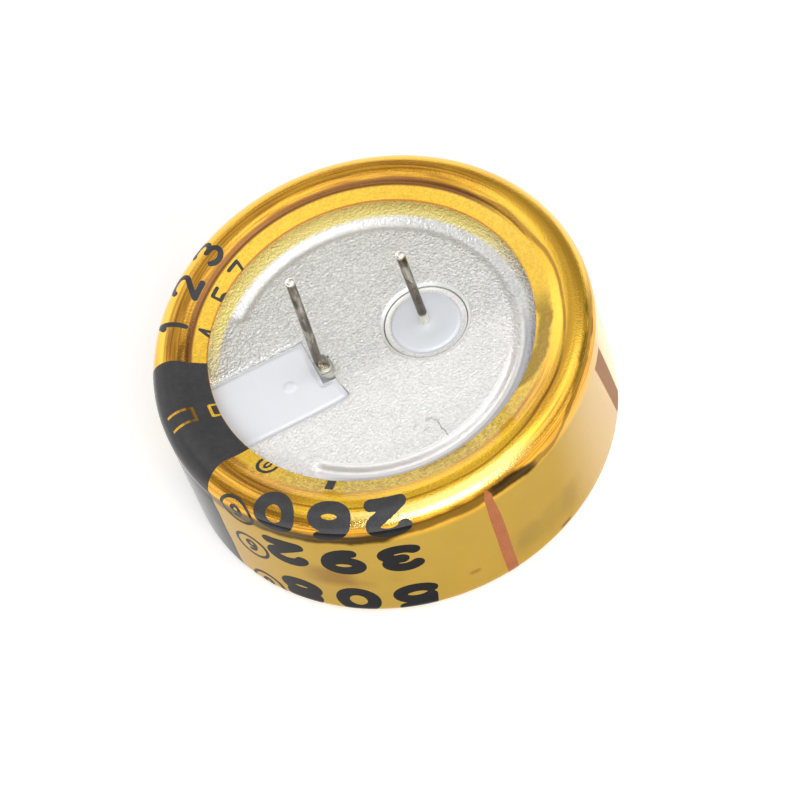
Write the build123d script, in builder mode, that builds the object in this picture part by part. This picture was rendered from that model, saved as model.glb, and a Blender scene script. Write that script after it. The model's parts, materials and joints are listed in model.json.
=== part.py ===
"""Coin supercapacitor: two stacked cells in a drawn can, with two upright leads and a heat-shrink sleeve.

Millimetres, +Z up. The part stands on its closed back, the leads point up, and the origin is on the can's axis
at the foot. +X runs along the lead line, from the negative lead to the positive one.
"""
from build123d import *
from math import asin, degrees
import os

# Driving dimensions
body_diameter = 20.0
body_height = 7.7
film = 0.1
can_sheet = 0.3
curl_radius = 0.9
foot_radius = 0.5
lead_pitch = 5.08
lead_diameter = 0.42
negative_lead_height = 6.9
positive_lead_height = 5.25

# Sleeve
sleeve_opening_radius = 7.41
film_edge_drop = 0.62
flange_bend_radius = 0.2

# Can
can_radius = body_diameter / 2 - film
bore_radius = can_radius - can_sheet
can_foot = film
floor_top = can_foot + can_sheet
curl_center_z = body_height - film - curl_radius
curl_center_radius = can_radius - curl_radius

# Base plate
plate_sheet = 0.4
plate_radius = bore_radius - 0.05
plate_top = curl_center_z - 0.25
plate_bottom = plate_top - plate_sheet
hole_radius = 1.92
groove_radius = 6.65
groove_width = 0.8
groove_depth = 0.2
groove_sweep = 270
notch_half_width = 1.98
notch_end_x = -2.76
relief_end_x = -2.0
relief_slot = 0.15

# Negative lead, bent up out of the base plate
bend_inside_radius = 0.3
bend_outside_radius = bend_inside_radius + plate_sheet
lead_root_half_width = 0.5
lead_neck_height = 1.1
lead_x = lead_pitch / 2
tip_chamfer = 0.06

# Insulator and positive plate
skirt_wall = 0.4
skirt_foot_z = 0.95
fit_gap = 0.06
pad_drop = 0.12
boss_top_radius = 1.575
boss_shoulder_drop = 0.2
contact_plate_sheet = 0.2
contact_plate_radius = 4.9
lead_head_radius = 0.55
lead_head_height = 0.18
lead_shank_radius = 0.4
lead_shank_drop = 0.1

# Coin cells
cell_height = 2.4
cell_sheet = 0.2
cell_radius = bore_radius - skirt_wall - 0.05
cell_corner = 0.35
crimp_drop = 0.35
cap_radius = 8.0
cap_foot_radius = 8.4
cap_foot_lift = 0.35
gasket_inner_radius = 7.6
collector_sheet = 0.05
separator_sheet = 0.1
electrode_radius = 7.2
separator_radius = 7.5

os.makedirs("parts", exist_ok=True)


def on_circle(center, radius, angle):
    """Point at the angle, in degrees, on a circle in the profile plane."""
    return center + Vector(radius, 0).rotate(Axis.Z, angle)


def write(part, name):
    part.label = name
    export_step(part, f"parts/{name}.step")


curl_center = Vector(curl_center_radius, curl_center_z)
foot_center = Vector(can_radius - foot_radius, can_foot + foot_radius)

# Can: drawn cup whose mouth is curled inwards and back down onto the base plate
curl_inner = curl_radius - can_sheet
corner_inner = foot_radius - can_sheet
with BuildPart() as can:
    with BuildSketch(Plane.XZ) as can_profile:
        with BuildLine():
            outer_foot = CenterArc(foot_center, foot_radius, -90, 90)
            outer_curl = CenterArc(curl_center, curl_radius, 0, 180)
            inner_curl = CenterArc(curl_center, curl_inner, 180, -180)
            inner_foot = CenterArc(foot_center, corner_inner, 0, -90)
            Line((0, can_foot), outer_foot @ 0)
            Line(outer_foot @ 1, outer_curl @ 0)
            Polyline(
                outer_curl @ 1,
                (curl_center_radius - curl_radius, plate_top),
                (curl_center_radius - curl_inner, plate_top),
                inner_curl @ 0,
            )
            Line(inner_curl @ 1, inner_foot @ 0)
            Polyline(inner_foot @ 1, (0, floor_top), (0, can_foot))
        make_face()
    revolve(axis=Axis.Z)
write(can.part, "can")

# Sleeve: film shrunk over the can, lapped round the curl and bent out into a free edge above the plate
film_edge_z = body_height - film_edge_drop
wrap_radius = curl_radius + film
bend_height = film_edge_z + flange_bend_radius - curl_center_z
wrap_angle = 180 - degrees(asin(bend_height / (wrap_radius + flange_bend_radius)))
flange_center = on_circle(curl_center, wrap_radius + flange_bend_radius, wrap_angle)
with BuildPart() as sleeve:
    with BuildSketch(Plane.XZ) as sleeve_profile:
        with BuildLine():
            outer_foot = CenterArc(foot_center, foot_radius + film, -90, 90)
            outer_wrap = CenterArc(curl_center, wrap_radius, 0, wrap_angle)
            outer_bend = CenterArc(flange_center, flange_bend_radius, wrap_angle - 180, -wrap_angle + 90)
            inner_bend = CenterArc(flange_center, flange_bend_radius + film, -90, wrap_angle - 90)
            inner_wrap = CenterArc(curl_center, curl_radius, wrap_angle, -wrap_angle)
            inner_foot = CenterArc(foot_center, foot_radius, 0, -90)
            Line((sleeve_opening_radius, 0), outer_foot @ 0)
            Line(outer_foot @ 1, outer_wrap @ 0)
            Polyline(
                outer_bend @ 1,
                (sleeve_opening_radius, film_edge_z),
                (sleeve_opening_radius, film_edge_z - film),
                inner_bend @ 0,
            )
            Line(inner_wrap @ 1, inner_foot @ 0)
            Polyline(inner_foot @ 1, (sleeve_opening_radius, film), (sleeve_opening_radius, 0))
        make_face()
    revolve(axis=Axis.Z)
write(sleeve.part, "sleeve")

# Negative lead: flat root bent up from the plate, drawn to a round lead above the neck
bend_center = Vector(-lead_x + plate_sheet / 2 + bend_inside_radius, plate_top + bend_inside_radius)
neck_z = plate_top + lead_neck_height
with BuildPart() as bent_root:
    with BuildSketch(Plane.XZ) as bend_profile:
        with BuildLine():
            outside = CenterArc(bend_center, bend_outside_radius, -90, -90)
            inside = CenterArc(bend_center, bend_inside_radius, 180, 90)
            Line(outside @ 1, inside @ 0)
            Line(inside @ 1, outside @ 0)
        make_face()
    extrude(amount=lead_root_half_width, both=True)
    with BuildSketch(Plane.XY.offset(bend_center.Y)):
        with Locations((-lead_x, 0)):
            Rectangle(plate_sheet, 2 * lead_root_half_width)
    with BuildSketch(Plane.XY.offset(neck_z)):
        with Locations((-lead_x, 0)):
            Circle(lead_diameter / 2)
    loft()
    with BuildSketch(Plane.XY.offset(neck_z)):
        with Locations((-lead_x, 0)):
            Circle(lead_diameter / 2)
    extrude(amount=negative_lead_height - lead_neck_height)
    chamfer(bent_root.edges().group_by(Axis.Z)[-1], tip_chamfer)

# Base plate: round plate with a notch open to the rim, a hole, and a groove that stops either side of the notch
groove_circle = (groove_width**2 / 4 + groove_depth**2) / (2 * groove_depth)
groove_z = plate_top + groove_circle - groove_depth
groove_start = -groove_sweep / 2
groove_ends = [Vector(groove_radius, 0, groove_z).rotate(Axis.Z, side * groove_start) for side in (-1, 1)]
groove_plane = Plane.XZ.rotated((0, 0, groove_start))
with BuildPart() as base_plate:
    with BuildSketch(Plane.XY.offset(plate_bottom)):
        Circle(plate_radius)
        with Locations((lead_x, 0)):
            Circle(hole_radius, mode=Mode.SUBTRACT)
        with BuildLine():
            relief_curve = ThreePointArc(
                (relief_end_x - 0.15, -lead_root_half_width),
                (relief_end_x - 0.02, -lead_root_half_width - 0.55),
                (relief_end_x + 0.05, -notch_half_width + 0.22),
            )
            Polyline(
                relief_curve @ 1,
                (relief_end_x - 1.9, -notch_half_width),
                (-body_diameter, -notch_half_width),
                (-body_diameter, notch_half_width),
                (notch_end_x, notch_half_width),
                (notch_end_x, lead_root_half_width + relief_slot),
                (relief_end_x, lead_root_half_width + relief_slot),
                (relief_end_x, lead_root_half_width),
                (bend_center.X, lead_root_half_width),
                (bend_center.X, -lead_root_half_width),
                relief_curve @ 0,
            )
        make_face(mode=Mode.SUBTRACT)
    extrude(amount=plate_sheet)
    with BuildSketch(groove_plane):
        with Locations((groove_radius, groove_z)):
            Circle(groove_circle)
    revolve(axis=Axis.Z, revolution_arc=groove_sweep, mode=Mode.SUBTRACT)
    with Locations(*groove_ends):
        Sphere(groove_circle, mode=Mode.SUBTRACT)
    add(bent_root.part)
write(base_plate.part, "base_plate")

# Insulator: disc with a skirt that lines the can, a pad in the notch and a boss round the positive lead
stack_top = floor_top + 2 * cell_height
contact_plate_top = stack_top + contact_plate_sheet
pad_top = plate_top - pad_drop
pad_end_x = notch_end_x - fit_gap
shank_top = plate_top - lead_shank_drop
with BuildPart() as insulator:
    with BuildSketch(Plane.XZ) as shell_profile:
        with BuildLine():
            Polyline(
                (0, plate_bottom),
                (bore_radius, plate_bottom),
                (bore_radius, skirt_foot_z),
                (bore_radius - skirt_wall, skirt_foot_z),
                (bore_radius - skirt_wall, stack_top),
                (contact_plate_radius, stack_top),
                (contact_plate_radius, contact_plate_top),
                (0, contact_plate_top),
                (0, plate_bottom),
            )
        make_face()
    revolve(axis=Axis.Z)
    with BuildSketch(Plane.XY.offset(plate_bottom)):
        with BuildLine():
            Polyline(
                (pad_end_x, notch_half_width - fit_gap),
                (pad_end_x, -lead_root_half_width - relief_slot),
                (relief_end_x - 0.2, -lead_root_half_width - relief_slot),
                (relief_end_x - 0.1, -notch_half_width + 0.3),
                (relief_end_x - 1.9, -notch_half_width + fit_gap),
                (-body_diameter, -notch_half_width + fit_gap),
                (-body_diameter, notch_half_width - fit_gap),
                (pad_end_x, notch_half_width - fit_gap),
            )
        make_face()
        Circle(plate_radius, mode=Mode.INTERSECT)
    extrude(amount=pad_top - plate_bottom)
    with BuildSketch(Plane.XY.offset(plate_bottom)):
        with Locations((lead_x, 0)):
            Circle(hole_radius - fit_gap)
    extrude(amount=plate_sheet)
    boss_rim = insulator.edges().filter_by(GeomType.CIRCLE).group_by(Axis.Z)[-1]
    chamfer(boss_rim, hole_radius - fit_gap - boss_top_radius, boss_shoulder_drop)
    with BuildSketch(Plane.XY.offset(contact_plate_top)):
        with Locations((lead_x, 0)):
            Circle(lead_head_radius)
    extrude(amount=lead_head_height, mode=Mode.SUBTRACT)
    with BuildSketch(Plane.XY.offset(contact_plate_top)):
        with Locations((lead_x, 0)):
            Circle(lead_shank_radius)
    extrude(amount=shank_top - contact_plate_top, mode=Mode.SUBTRACT)
    with BuildSketch(Plane.XY.offset(shank_top)):
        with Locations((lead_x, 0)):
            Circle(lead_diameter / 2)
    extrude(amount=lead_shank_drop, mode=Mode.SUBTRACT)
write(insulator.part, "insulator")

# Positive lead: headed wire, its head between the contact plate and the insulator and its shank in the boss
with BuildPart() as positive_lead:
    with BuildSketch(Plane.XY.offset(contact_plate_top)):
        with Locations((lead_x, 0)):
            Circle(lead_head_radius)
    extrude(amount=lead_head_height)
    with BuildSketch(Plane.XY.offset(contact_plate_top)):
        with Locations((lead_x, 0)):
            Circle(lead_shank_radius)
    extrude(amount=shank_top - contact_plate_top)
    with BuildSketch(Plane.XY.offset(shank_top)):
        with Locations((lead_x, 0)):
            Circle(lead_diameter / 2)
    extrude(amount=lead_shank_drop + positive_lead_height)
    chamfer(positive_lead.edges().group_by(Axis.Z)[-1], tip_chamfer)
write(positive_lead.part, "positive_lead")

# Positive plate: contact disc on the upper cell
with BuildPart() as positive_plate:
    with BuildSketch(Plane.XY.offset(stack_top)):
        Circle(contact_plate_radius)
    extrude(amount=contact_plate_sheet)
write(positive_plate.part, "positive_plate")

# Two coin cells in series, each with its cup down and its cap up
electrode_height = (cell_height - 2 * cell_sheet - 2 * collector_sheet - separator_sheet) / 2
for cell, cell_z in (("lower", floor_top), ("upper", floor_top + cell_height)):
    cup_floor_top = cell_z + cell_sheet
    crimp_z = cell_z + cell_height - crimp_drop
    cup_inner = cell_radius - cell_sheet
    cap_inner = cap_radius - cell_sheet
    cap_top = cell_z + cell_height
    cap_foot_z = cup_floor_top + cap_foot_lift
    corner_center = Vector(cell_radius - cell_corner, cell_z + cell_corner)
    shoulder_center = Vector(cap_radius - cell_corner, cap_top - cell_corner)

    with BuildPart() as cell_cup:
        with BuildSketch(Plane.XZ):
            with BuildLine():
                corner = CenterArc(corner_center, cell_corner, -90, 90)
                inner_corner = CenterArc(corner_center, cell_corner - cell_sheet, 0, -90)
                Line((0, cell_z), corner @ 0)
                Polyline(
                    corner @ 1,
                    (cell_radius, crimp_z - cell_sheet),
                    (cell_radius - 2 * cell_sheet, crimp_z + cell_sheet),
                    (cap_foot_radius - cell_sheet, crimp_z + cell_sheet),
                    (cap_foot_radius - cell_sheet, crimp_z),
                    (cup_inner - cell_sheet, crimp_z),
                    (cup_inner, crimp_z - cell_sheet),
                    inner_corner @ 0,
                )
                Polyline(inner_corner @ 1, (0, cup_floor_top), (0, cell_z))
            make_face()
        revolve(axis=Axis.Z)
    write(cell_cup.part, f"{cell}_cell_cup")

    with BuildPart() as cell_cap:
        with BuildSketch(Plane.XZ):
            with BuildLine():
                shoulder = CenterArc(shoulder_center, cell_corner, 0, 90)
                inner_shoulder = CenterArc(shoulder_center, cell_corner - cell_sheet, 90, -90)
                Polyline(
                    inner_shoulder @ 1,
                    (cap_inner, cap_foot_z),
                    (cap_foot_radius, cap_foot_z),
                    (cap_foot_radius, cap_foot_z + cell_sheet),
                    (cap_radius, cap_foot_z + cell_sheet),
                    shoulder @ 0,
                )
                Polyline(shoulder @ 1, (0, cap_top), (0, cap_top - cell_sheet), inner_shoulder @ 0)
            make_face()
        revolve(axis=Axis.Z)
    write(cell_cap.part, f"{cell}_cell_cap")

    with BuildPart() as cell_gasket:
        with BuildSketch(Plane.XZ):
            with BuildLine():
                Polyline(
                    (gasket_inner_radius, cup_floor_top),
                    (corner_center.X, cup_floor_top),
                    (cup_inner, corner_center.Y),
                    (cup_inner, crimp_z - cell_sheet),
                    (cup_inner - cell_sheet, crimp_z),
                    (cap_radius, crimp_z),
                    (cap_radius, cap_foot_z + cell_sheet),
                    (cap_foot_radius, cap_foot_z + cell_sheet),
                    (cap_foot_radius, cap_foot_z),
                    (gasket_inner_radius, cap_foot_z),
                    (gasket_inner_radius, cup_floor_top),
                )
            make_face()
        revolve(axis=Axis.Z)
    write(cell_gasket.part, f"{cell}_cell_gasket")

    layers = (
        ("negative_collector", electrode_radius, collector_sheet),
        ("negative_electrode", electrode_radius, electrode_height),
        ("separator", separator_radius, separator_sheet),
        ("positive_electrode", electrode_radius, electrode_height),
        ("positive_collector", electrode_radius, collector_sheet),
    )
    layer_z = cup_floor_top
    for layer_name, layer_radius, layer_height in layers:
        with BuildPart() as layer:
            with BuildSketch(Plane.XY.offset(layer_z)):
                Circle(layer_radius)
            extrude(amount=layer_height)
        write(layer.part, f"{cell}_{layer_name}")
        layer_z += layer_height
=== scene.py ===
"""Looks of a coin supercapacitor: film sleeve with print, coined plate with a bent lead, white insulator.

Metres, +Z up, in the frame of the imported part. +X runs from the negative lead to the positive one.
Outlines in plan and places along the film's line are worked out in millimetres and multiplied by MM.
"""

import json
import math

import bmesh
import bpy
import numpy as np
from mathutils import Matrix, Vector
from mathutils.geometry import delaunay_2d_cdt


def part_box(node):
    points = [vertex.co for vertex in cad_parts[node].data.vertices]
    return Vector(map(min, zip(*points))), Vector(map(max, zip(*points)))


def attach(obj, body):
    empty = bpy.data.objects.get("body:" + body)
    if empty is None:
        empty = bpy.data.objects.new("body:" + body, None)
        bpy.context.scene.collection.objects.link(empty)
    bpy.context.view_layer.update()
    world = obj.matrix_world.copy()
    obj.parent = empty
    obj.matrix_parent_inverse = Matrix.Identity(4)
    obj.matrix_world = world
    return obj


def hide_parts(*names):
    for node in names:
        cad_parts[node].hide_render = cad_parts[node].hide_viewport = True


bl_info = {
    "name": "Coin supercapacitor",
    "version": (1, 0, 0),
    "blender": (4, 5, 0),
    "location": "3D View > Sidebar > Supercapacitor",
    "description": "Builds the visible pieces of a sleeved coin supercapacitor around its packed solids",
    "category": "Add Mesh",
}

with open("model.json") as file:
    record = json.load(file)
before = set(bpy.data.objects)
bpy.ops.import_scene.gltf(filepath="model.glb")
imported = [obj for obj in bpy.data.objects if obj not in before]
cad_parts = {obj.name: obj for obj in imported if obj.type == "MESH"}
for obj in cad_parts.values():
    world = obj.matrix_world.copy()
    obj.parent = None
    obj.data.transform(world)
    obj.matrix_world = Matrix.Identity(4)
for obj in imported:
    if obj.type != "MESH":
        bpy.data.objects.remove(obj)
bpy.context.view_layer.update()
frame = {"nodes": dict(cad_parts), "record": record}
MM = 0.001
BODY = "root"

sleeve_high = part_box("sleeve")[1]
plate_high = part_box("base_plate")[1]
white_low, white_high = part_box("insulator")
pin_low, pin_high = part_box("positive_lead")
contact_low, contact_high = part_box("positive_plate")

CREST_AT = 1.82  # mm along the film at its crest, where distances start at the free edge
ROUND = 10  # mm of film on the wall to one radian
WALL_INK_BELOW = 6.9 * MM
ROOT_TOP = 0.55 * MM  # height of the bent root above the plate


# ---------------------------------------------------------------- sizes and colours


def length(name, text, default):
    """Length property in metres."""
    return bpy.props.FloatProperty(name=name, description=text, default=default, unit="LENGTH", precision=6)


def number(name, text, default):
    """Property with no unit of length: a slope in degrees or a lamp's power."""
    return bpy.props.FloatProperty(name=name, description=text, default=default)


def colour(name, text, default):
    """Linear colour property."""
    return bpy.props.FloatVectorProperty(
        name=name, description=text, default=default, size=3, min=0.0, max=1.0, subtype="COLOR"
    )


class SleeveSettings(bpy.types.PropertyGroup):
    """Film shrunk over the can."""

    radius: length("Radius", "Outside radius of the film on the wall", sleeve_high.x - 0.016 * MM)
    height: length("Height", "Height of the film over the rim", sleeve_high.z - 0.004 * MM)
    film: length("Film", "Thickness of the film", 0.1 * MM)
    rim_radius: length("Rim radius", "Radius of the film round the curled rim", 0.985 * MM)
    foot_radius: length("Foot radius", "Radius of the film at the foot", 0.6 * MM)
    opening: length("Opening", "Radius of the free edge", 7.41 * MM)
    edge_height: length("Edge height", "Height of the free edge's upper side", 7.08 * MM)
    lip_slope: number("Lip slope", "How far the free lip slopes down towards the axis", 22.0)
    ramp_slope: number("Ramp slope", "Slope between the lip and the round of the rim", 27.0)
    on_metal: colour("Film on metal", "Amber film seen against bright metal", (0.95, 0.51, 0.03))
    on_metal_dark: colour("Film on metal, dull", "Amber film where the metal is dull", (0.32, 0.105, 0.007))
    on_wall: colour("Film on the wall", "Amber film on the can's side", (0.44, 0.285, 0.04))
    on_lip: colour("Film on the lip", "Amber film of the free lip", (1.0, 0.62, 0.04))
    # Painted shade: the film bridging the neck under the rim, painted dark for the shaded gap behind it.
    neck_shade: colour("Neck shade", "Film over the neck under the rim, painted dark as the shade of the gap behind it", (0.02, 0.008, 0.001))
    cut: colour("Cut edge", "Film seen through its cut edge", (0.50, 0.13, 0.015))
    seam: colour("Seam", "Lapped seam of the film", (0.33, 0.085, 0.014))


class PrintSettings(bpy.types.PropertyGroup):
    """Black print on the film."""

    ink: colour("Ink", "Printing ink", (0.044, 0.044, 0.047))
    lift: length("Lift", "How far the ink stands proud of the film", 0.006 * MM)
    bold_height: length("Bold height", "Height of the bold numbers", 2.1 * MM)


class PlateSettings(bpy.types.PropertyGroup):
    """Frosted base plate and the lead bent up out of it."""

    top: length("Top", "Height of the plate's upper face", 6.45 * MM)
    sheet: length("Sheet", "Thickness of the plate", 0.4 * MM)
    radius: length("Radius", "Radius of the plate", 9.55 * MM)
    hole: length("Hole", "Radius of the hole round the positive lead", 1.92 * MM)
    groove_radius: length("Groove radius", "Radius of the coined groove's middle", 6.6 * MM)
    groove_width: length("Groove width", "Width of the coined groove", 0.84 * MM)
    groove_depth: length("Groove depth", "Depth of the coined groove", 0.26 * MM)
    lead_radius: length("Lead radius", "Radius of the round leads", 0.21 * MM)
    lead_lean: length("Lead lean", "Lean of the negative lead's tip towards the positive one", 0.17 * MM)
    # The two frosted colours paint the plate's halves: painted shade on one, painted light on the other.
    metal: colour("Frosted metal", "Plated steel, coarsely frosted half, painted greyer as shade", (0.86, 0.88, 0.86))
    metal_bright: colour("Bright frosted metal", "Plated steel, finely frosted half, painted lighter as light", (1.0, 1.0, 0.99))
    lead: colour("Lead metal", "Tinned lead", (0.20, 0.18, 0.145))


class InsulatorSettings(bpy.types.PropertyGroup):
    """White moulding in the notch and round the positive lead."""

    pad_top: length("Pad top", "Height of the pad in the notch", 6.33 * MM)
    boss_radius: length("Boss radius", "Radius of the boss's flat top", 1.54 * MM)
    white: colour("White plastic", "Milky white plastic", (0.74, 0.765, 0.81))
    # The boss's colour is the white plastic painted darker, as painted shade.
    boss: colour("Boss", "White plastic of the boss", (0.61, 0.64, 0.675))
    collar: colour("Collar", "Sloping collar round the boss", (0.80, 0.79, 0.76))


class StageSettings(bpy.types.PropertyGroup):
    """Floor, lamps and camera."""

    floor_size: length("Floor size", "Radius of the floor", 0.6)
    floor_colour: colour("Floor colour", "Pale floor", (0.86, 0.86, 0.86))
    key_power: number("Key power", "Power of the main softbox", 0.03)
    front_power: number("Front power", "Power of the front lamp", 0.116)


SETTINGS = {
    "cap_sleeve": SleeveSettings,
    "cap_print": PrintSettings,
    "cap_plate": PlateSettings,
    "cap_insulator": InsulatorSettings,
    "cap_stage": StageSettings,
}


# ---------------------------------------------------------------- mesh helpers


def add_piece(name, points, faces, materials, slot, replaced=(), zones=None, sharp=40):
    """Object from points and faces, smooth shaded, riding on the body."""
    mesh = bpy.data.meshes.new(name)
    mesh.from_pydata([tuple(p) for p in points], [], [tuple(f) for f in faces])
    for material in materials:
        mesh.materials.append(material)
    if zones is not None:
        mesh.polygons.foreach_set("material_index", np.asarray(zones, np.int32))
    mesh.polygons.foreach_set("use_smooth", np.ones(len(mesh.polygons), bool))
    mesh.validate()
    shell = bmesh.new()
    shell.from_mesh(mesh)
    bmesh.ops.recalc_face_normals(shell, faces=shell.faces)
    shell.to_mesh(mesh)
    shell.free()
    mesh.set_sharp_from_angle(angle=math.radians(sharp))
    mesh.update()
    piece = bpy.data.objects.new(name, mesh)
    bpy.context.scene.collection.objects.link(piece)
    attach(piece, BODY)
    if replaced:
        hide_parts(*replaced)
    return piece


def turned(profile, steps, closed=True):
    """Points and faces of a line turned round the axis; points on the axis become poles."""
    angles = np.linspace(0, 2 * math.pi, steps, endpoint=False)
    points, rings = [], []
    for r, z in np.asarray(profile, float):
        if r < 1e-9:
            rings.append([len(points)])
            points.append((0.0, 0.0, z))
        else:
            rings.append(list(range(len(points), len(points) + steps)))
            points += [(r * math.cos(a), r * math.sin(a), z) for a in angles]
    faces = []
    following = rings[1:] + (rings[:1] if closed else [])
    for ring, after in zip(rings, following):
        if len(ring) == 1 and len(after) == 1:
            continue
        for i in range(steps):
            j = (i + 1) % steps
            if len(ring) == 1:
                faces.append((ring[0], after[i], after[j]))
            elif len(after) == 1:
                faces.append((ring[i], after[0], ring[j]))
            else:
                faces.append((ring[i], after[i], after[j], ring[j]))
    return np.array(points), faces


def grid_faces(rows, columns, closed=False):
    """Faces of a grid of points numbered row by row; a closed grid meets itself both ways."""
    index = np.arange(rows * columns).reshape(rows, columns)
    if closed:
        index = np.pad(index, ((0, 1), (0, 1)), mode="wrap")
    corners = [index[:-1, :-1], index[1:, :-1], index[1:, 1:], index[:-1, 1:]]
    return np.stack(corners, -1).reshape(-1, 4).tolist()


def lofted(sections):
    """Points and faces of a closed tube through sections of equal point count."""
    count = len(sections[0])
    points = np.concatenate(sections)
    faces = []
    for k in range(len(sections) - 1):
        for i in range(count):
            j = (i + 1) % count
            faces.append((k * count + i, k * count + j, (k + 1) * count + j, (k + 1) * count + i))
    faces.append(tuple(reversed(range(count))))
    faces.append(tuple(range((len(sections) - 1) * count, len(sections) * count)))
    return points, faces


def joined(shells):
    """Several closed shells as one list of points and faces."""
    points, faces, start = [], [], 0
    for shell_points, shell_faces in shells:
        points.append(np.asarray(shell_points, float))
        faces += [tuple(start + i for i in face) for face in shell_faces]
        start += len(shell_points)
    return np.concatenate(points), faces


def inside(loops, xy):
    """True for the points inside an odd number of the loops."""
    hit = np.zeros(len(xy), bool)
    for loop in loops:
        a = np.asarray(loop)
        b = np.roll(a, -1, axis=0)
        for (ax, ay), (bx, by) in zip(a, b):
            if ay == by:
                continue
            crosses = (ay > xy[:, 1]) != (by > xy[:, 1])
            hit ^= crosses & (xy[:, 0] < (bx - ax) * (xy[:, 1] - ay) / (by - ay) + ax)
    return hit


def nearest_distance(pieces, xy):
    """Distance of each point from the nearest of several straight pieces, each a pair of end points."""
    nearest = np.full(len(xy), 1e9)
    for p, q in pieces:
        d = q - p
        t = np.clip(((xy - p) @ d) / max(d @ d, 1e-12), 0, 1)
        nearest = np.minimum(nearest, np.linalg.norm(xy - p - t[:, None] * d, axis=1))
    return nearest


def edge_distance(loops, xy):
    """Distance of each point from the nearest loop."""
    return nearest_distance([pair for loop in loops for pair in zip(loop, np.roll(loop, -1, axis=0))], xy)


def filled(loops, extra, gap):
    """Triangles between closed loops, with the extra points that lie inside and clear of the edges."""
    extra = np.asarray(extra, float)
    extra = extra[inside(loops, extra)]
    extra = extra[edge_distance(loops, extra) > gap]
    points, edges = [], []
    for loop in loops:
        start = len(points)
        points += [Vector((float(x), float(y))) for x, y in loop]
        edges += [(start + i, start + (i + 1) % len(loop)) for i in range(len(loop))]
    points += [Vector((float(x), float(y))) for x, y in extra]
    xy, _, faces, _, _, _ = delaunay_2d_cdt(points, edges, [], 2, 1e-5)
    xy = np.array([tuple(p) for p in xy])
    kept = inside(loops, np.array([xy[list(f)].mean(0) for f in faces]))
    return xy, [tuple(f) for f, good in zip(faces, kept) if good]


def slab(top, bottom, faces):
    """Closed slab between two copies of a meshed region."""
    count = len(top)
    sides = {}
    for face in faces:
        for a, b in zip(face, face[1:] + face[:1]):
            if (b, a) in sides:
                del sides[(b, a)]
            else:
                sides[(a, b)] = True
    solid = list(faces)
    solid += [tuple(count + i for i in reversed(face)) for face in faces]
    solid += [(b, a, count + a, count + b) for a, b in sides]
    return np.concatenate([top, bottom]), solid


def at_height(xy, z):
    """Points in space over points in plan, in mm; one height for all or one for each."""
    return np.c_[xy, np.broadcast_to(z, len(xy))] * MM


def smooth_step(x):
    """0 below 0, 1 above 1, smooth between."""
    x = np.clip(x, 0, 1)
    return x * x * (3 - 2 * x)


def hump(x):
    """1 at 0, falling off smoothly to both sides."""
    return np.exp(-(x**2))


# ---------------------------------------------------------------- the film's surface


def arc(centre, radius, start, end, count):
    """Points on an arc, angles in degrees."""
    angles = np.radians(np.linspace(start, end, count))
    return np.c_[centre[0] + radius * np.cos(angles), centre[1] + radius * np.sin(angles)]


def film_line(cap):
    """Outside of the film from its free edge, over the rim and down the wall, to the opening in the back."""
    rim = np.array((cap.radius - cap.rim_radius, cap.height - cap.rim_radius))
    foot = (cap.radius - cap.foot_radius, cap.foot_radius)
    edge = np.array((cap.opening, cap.edge_height))
    lip, ramp = math.radians(cap.lip_slope), math.radians(cap.ramp_slope)
    along_lip = np.array((math.cos(lip), math.sin(lip)))
    along_ramp = np.array((math.cos(ramp), math.sin(ramp)))
    leave = rim + cap.rim_radius * np.array((-math.sin(ramp), math.cos(ramp)))
    reach = np.linalg.solve(np.c_[along_lip, along_ramp], leave - edge)[0]
    crease = edge + reach * along_lip
    before, after = crease - 0.1 * MM * along_lip, crease + 0.1 * MM * along_ramp
    t = np.linspace(0, 1, 9)[1:, None]
    parts = [
        edge + np.linspace(0, 1, 22)[:, None] * (before - edge),
        (1 - t) ** 2 * before + 2 * t * (1 - t) * crease + t**2 * after,
        after + np.linspace(0, 1, 9)[1:, None] * (leave - after),
        arc(rim, cap.rim_radius, 90 + cap.ramp_slope, 0, 100)[1:],
        np.c_[np.full(52, cap.radius), np.linspace(rim[1], foot[1], 53)[1:]],
        arc(foot, cap.foot_radius, 0, -90, 12)[1:],
        np.c_[np.linspace(foot[0], cap.opening, 8)[1:], np.zeros(7)],
    ]
    line = np.concatenate(parts)
    run = np.r_[0, np.cumsum(np.hypot(*np.diff(line, axis=0).T))]
    slope = np.gradient(line, run, axis=0)
    slope /= np.hypot(*slope.T)[:, None]
    normal = np.c_[-slope[:, 1], slope[:, 0]]
    return {"line": line, "run": run, "normal": normal, "crest": run[np.argmax(line[:, 1])]}


RIPPLES = np.random.default_rng(7).uniform(0, 1, (28, 4))
LINES = (  # place along the film, drift, turn of the drift and depth of each crease line
    (1.14, 0.04, 2.2, 0.004),
    (1.36, 0.06, 4.1, 0.005),
    (2.05, 0.08, 1.3, 0.005),
    (2.42, 0.10, 5.2, 0.004),
    (2.92, 0.09, 3.0, 0.006),
)
SEAM_FOLDS = ((-76.5, 2.0, 0.020), (-81.0, 1.3, 0.016), (-72.0, 2.4, 0.014), (-87.5, 2.6, 0.012))
LIP_PUCKERS = ((-150.5, 1.3), (-153.5, 1.0), (-147.0, 1.1))


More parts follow.
